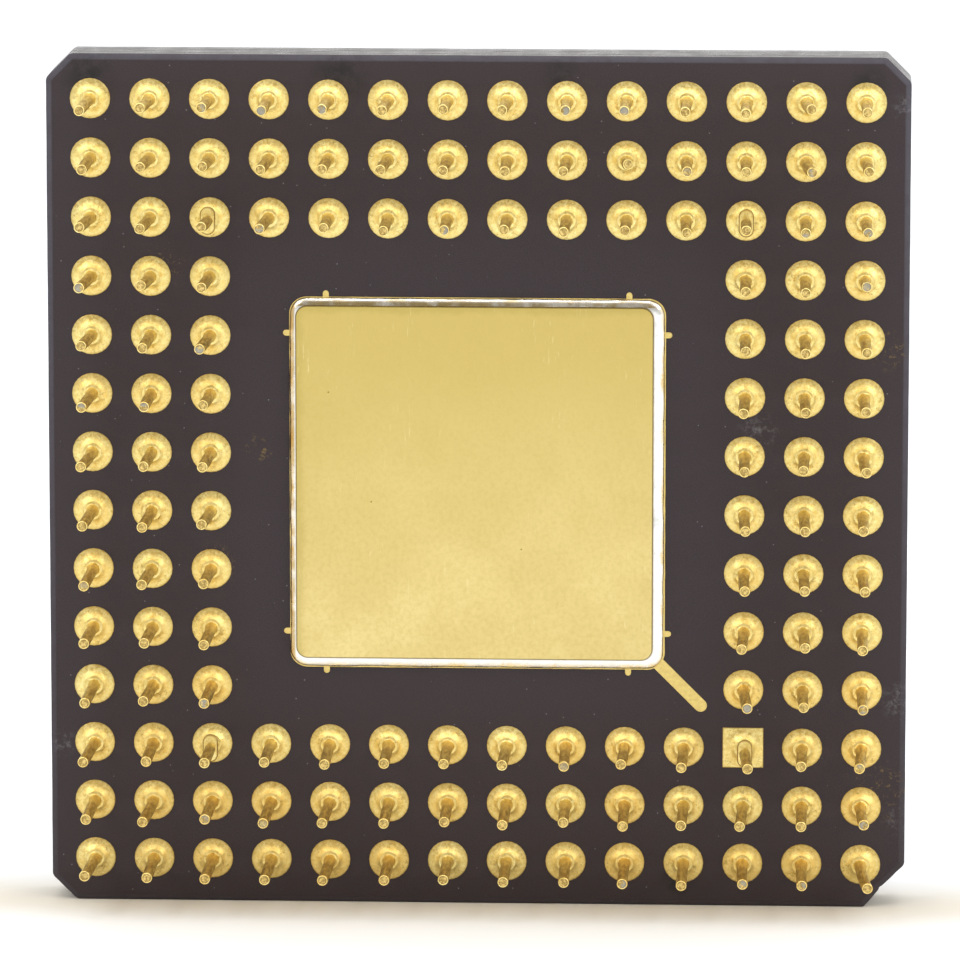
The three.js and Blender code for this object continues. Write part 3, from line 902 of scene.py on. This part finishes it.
SOLDER = {"side": 16.03 * MM, "corner": 0.74 * MM, "shift": (-0.02 * MM, 0.0)}
SOLDER_SECTION = [  # share of the way from the toe to the lid, share of the height, and painted shade, darkest at the toe and by the lid
    (0.00, 0.00, 1.0), (0.03, 0.22, 0.6), (0.10, 0.42, 0.0), (0.25, 0.64, 0.0), (0.45, 0.81, 0.0),
    (0.68, 0.93, 0.0), (0.88, 0.99, 0.2), (1.00, 1.00, 1.0),
]
LID_EDGE = [(0.060 * MM, 0.0, 0.0)] + quarter_round(0.045 * MM, 0.05 * MM)


def paired_square(side, corner, shift=(0.0, 0.0), corner_steps=10, side_steps=90):
    """A rounded square with the same number of points whatever its size."""
    arcs = rounded_square(side, corner, corner_steps)
    count = corner_steps + 1
    points = []
    for quarter in range(4):
        arc = arcs[quarter * count:(quarter + 1) * count]
        (x0, z0), (x1, z1) = arc[-1], arcs[(quarter + 1) * count % len(arcs)]
        points.extend(arc)
        for step in range(1, side_steps):
            share = step / side_steps
            points.append((x0 + (x1 - x0) * share, z0 + (z1 - z0) * share))
    return [(x + shift[0], z + shift[1]) for x, z in points]


def lid_shift():
    """How far the lid sits off the body's centre."""
    return LID_CENTRE[0] - CENTRE_X, LID_CENTRE[1] - CENTRE_Z


# The seam's wave: the plane and the length of its noise, how far it goes out and up, and a limit
# that keeps it on the ring.
SEAM_WAVE = {"place": 3 * MM, "length": 1.1 * MM, "out": 0.035 * MM, "out_limit": 0.3, "lift": 0.2}
SEAM_RISE = 0.55  # how much of the lid's side the solder wets
SEAM_GAP = 0.05 * MM  # from the solder's inner side to the ring's


def solder_seam():
    """Solder between ring and lid. It swells out beyond the lid and wets the lid's side."""
    builder = Builder()
    toe = paired_square(SOLDER["side"], SOLDER["corner"], SOLDER["shift"])
    lid = paired_square(LID_SIDE, LID_CORNER, lid_shift())
    inner = paired_square(RING["inner"] + 2 * SEAM_GAP, OPENING_CORNER)
    waves = [noise.noise(Vector((x, SEAM_WAVE["place"], z)) / SEAM_WAVE["length"]) for x, z in toe]
    toe = moved_out(toe, [SEAM_WAVE["out"] * min(SEAM_WAVE["out_limit"], wave) for wave in waves])
    height = SOLDER_TOP - RING_THICKNESS + LID_THICKNESS * SEAM_RISE
    rings = []
    for share, rise, grime in SOLDER_SECTION:
        points = []
        for (x0, z0), (x1, z1), wave in zip(toe, lid, waves):
            lift = rise * height * (1 + SEAM_WAVE["lift"] * wave)
            points.append(at(x0 + (x1 - x0) * share, z0 + (z1 - z0) * share, RING_THICKNESS + lift))
        rings.append(builder.add_ring(points, grime=grime, inward=share))
    for outline, level in ((lid, SOLDER_TOP), (inner, SOLDER_TOP), (inner, RING_THICKNESS)):
        rings.append(builder.add_ring([at(x, z, level) for x, z in outline], grime=0.0, inward=1.0))
    for lower, upper in zip(rings, rings[1:] + rings[:1]):
        builder.bridge(upper, lower)
    builder.piece("seal_solder_wetted", [solder_material()], ["seal_solder"])


LID_EDGE_SHADE_STEP = 0.4  # how much more painted shade each ring of the rolled edge gets than the one before


def lid_plate():
    """The stamped lid: soft corners, and a rolled edge with painted shade beside the solder."""
    builder = Builder()
    outline = paired_square(LID_SIDE, LID_CORNER, lid_shift(), side_steps=40)
    rings = []
    for step, (inset, y, _) in enumerate(rim_profile(LID_LOW.y, LID_HIGH.y, LID_EDGE, SEAM_EDGE)):
        shifted = moved_out(outline, [-inset] * len(outline))
        points = [Vector((CENTRE_X + x, y, CENTRE_Z + z)) for x, z in shifted]
        rings.append(builder.add_ring(points, grime=min(1.0, LID_EDGE_SHADE_STEP * step)))
    for near_ring, far_ring in zip(rings, rings[1:]):
        builder.bridge(far_ring, near_ring)
    builder.fill([rings[0]])
    builder.fill([rings[-1]], flip=True)
    builder.piece("lid_plated", [lid_material()], ["lid"])


# The sealed inner pieces --------------------------------------------------------------------------

def inner_pieces():
    """These keep their CAD shapes and get finished materials."""
    tungsten = plain_material("fired_tungsten", (0.13, 0.12, 0.11), (0.22, 0.20, 0.18), 0.08 * MM, 0.5, 1.0)
    silicon = plain_material("polished_silicon", (0.05, 0.06, 0.09), (0.08, 0.09, 0.12), 0.9 * MM, 0.18, 0.4)
    wire = plain_material("bond_wire", (0.60, 0.61, 0.62), (0.72, 0.72, 0.73), 0.05 * MM, 0.3, 1.0)
    gold = plain_material("cavity_gold", (0.68, 0.47, 0.14), (0.84, 0.61, 0.22), 0.1 * MM, 0.35, 1.0)
    finishes = {
        "ground_plane": tungsten, "power_plane": tungsten, "silicon_die": silicon,
        "die_attach_preform": gold, "bond_wires": wire, "bond_fingers": gold,
    }
    for node, obj in frame["nodes"].items():
        for start, material in finishes.items():
            if node.startswith(start):
                obj.data.materials.clear()
                obj.data.materials.append(material)


# Studio -------------------------------------------------------------------------------------------

CAMERA = {"azimuth": 2.6, "elevation": 9.8, "distance": 342.5 * MM, "roll": 0.02}
CAMERA_AIM = Vector((CENTRE_X + 0.11 * MM, PIN_FACE_Y, CENTRE_Z + 0.155 * MM))
SENSOR = 36.0
LENS = 300.0
CLIP = (1 * MM, 20.0)


def direction(azimuth, elevation):
    """Unit vector from the object towards a place round it. Azimuth 0 is the pin side."""
    a, e = math.radians(azimuth), math.radians(elevation)
    return Vector((math.sin(a) * math.cos(e), -math.cos(a) * math.cos(e), math.sin(e)))


def point_at(obj, place, target):
    obj.location = place
    obj.rotation_euler = (target - place).to_track_quat("-Z", "Y").to_euler()


def camera():
    data = bpy.data.cameras.new("camera")
    data.sensor_width = SENSOR
    data.lens = LENS
    data.clip_start, data.clip_end = CLIP
    obj = bpy.data.objects.new("camera", data)
    bpy.context.scene.collection.objects.link(obj)
    place = CAMERA_AIM + direction(CAMERA["azimuth"], CAMERA["elevation"]) * CAMERA["distance"]
    point_at(obj, place, CAMERA_AIM)
    obj.rotation_euler.rotate_axis("Z", math.radians(CAMERA["roll"]))
    bpy.context.scene.camera = obj


FLOOR_HALF_SIDE = 6.0
PAPER_NEAR_SHADOWED = [(0.80, 0.795, 0.785), (0.82, 0.815, 0.805)]  # two tones of its grain, darker than the far paper: painted shadow near the package
PAPER_FAR = (0.90, 0.93, 0.97)
PAPER_WARM = (0.62, 0.53, 0.37)  # lit by the gold close in front of the package
WARM_REACH = 4 * MM
PAPER_FADE = (1 * MM, 24 * MM)  # where the paper turns from near to far in front
FADE_BEHIND = 3.0  # how many times sooner it turns behind the package


def floor():
    """A sheet of white paper, with painted shadow and painted warm light from the gold close to the package.
    """
    mesh = bpy.data.meshes.new("floor")
    half = FLOOR_HALF_SIDE
    corners = [(-half, -half, 0), (half, -half, 0), (half, half, 0), (-half, half, 0)]
    mesh.from_pydata(corners, [], [(0, 1, 2, 3)])
    s = Shader("floor_paper", roughness=0.9, metallic=0.0, specular=0.2)
    # painted shadow: close to the package the paper is darker than far away
    paper = s.mix(s.noise(0.6 * MM, 3.0), *PAPER_NEAR_SHADOWED)
    in_front = s.math("SUBTRACT", PIN_FACE_Y, s.axis("Y"))
    warm = s.ramp(in_front, WARM_REACH, 0.0, 0.0, 0.45)
    paper = s.mix(warm, paper, PAPER_WARM)
    away = s.math("MAXIMUM", in_front, s.math("MULTIPLY", in_front, -FADE_BEHIND))
    mesh.materials.append(s.finish(s.mix(s.ramp(away, *PAPER_FADE), paper, PAPER_FAR)))
    obj = bpy.data.objects.new("floor", mesh)
    bpy.context.scene.collection.objects.link(obj)


LIGHTS = {  # azimuth and elevation in degrees, distance and size in metres, power in watts
    "key_left": (-50, 40, 0.45, 0.25, 0.5),
    "key_right": (55, 35, 0.45, 0.25, 0.6),
    "top": (0, 80, 0.5, 0.35, 0.8),
}


def soft_light(name, azimuth, elevation, distance, size, power):
    data = bpy.data.lights.new(name, "AREA")
    data.shape = "SQUARE"
    data.size = size
    data.energy = power
    obj = bpy.data.objects.new(name, data)
    bpy.context.scene.collection.objects.link(obj)
    target = Vector((CENTRE_X, 0, CENTRE_Z))
    point_at(obj, target + direction(azimuth, elevation) * distance, target)


WORLD_BRIGHT = 1.15
WORLD_FRONT = 0.50
WORLD_FADE = (0.3, 0.95)  # cosines of the angle from the camera's side between which the light dims
WORLD_MIDDLE = (0, 10)  # azimuth and elevation of the dimmest place
WORLD_WHITE = (1.0, 0.995, 0.98, 1.0)


def world():
    """White all round, dimmer towards the camera's side."""
    made = bpy.data.worlds.new("studio")
    bpy.context.scene.world = made
    made.use_nodes = True
    nodes, links = made.node_tree.nodes, made.node_tree.links
    place = nodes.new("ShaderNodeTexCoord")
    facing = nodes.new("ShaderNodeVectorMath")
    facing.operation = "DOT_PRODUCT"
    facing.inputs[1].default_value = direction(*WORLD_MIDDLE)
    links.new(place.outputs["Generated"], facing.inputs[0])
    dim = nodes.new("ShaderNodeMapRange")
    dim.interpolation_type = "SMOOTHSTEP"
    dim.inputs["From Min"].default_value, dim.inputs["From Max"].default_value = WORLD_FADE
    dim.inputs["To Min"].default_value = WORLD_BRIGHT
    dim.inputs["To Max"].default_value = WORLD_FRONT
    links.new(facing.outputs["Value"], dim.inputs["Value"])
    background = nodes["Background"]
    background.inputs["Color"].default_value = WORLD_WHITE
    links.new(dim.outputs["Result"], background.inputs["Strength"])


def studio():
    world()
    for name, settings in LIGHTS.items():
        soft_light(name, *settings)
    scene = bpy.context.scene
    scene.view_settings.view_transform = "Standard"
    scene.view_settings.look = "None"


ceramic_layers()
pin_runs()
seal_ring()
solder_seam()
lid_plate()
inner_pieces()
camera()
floor()
studio()
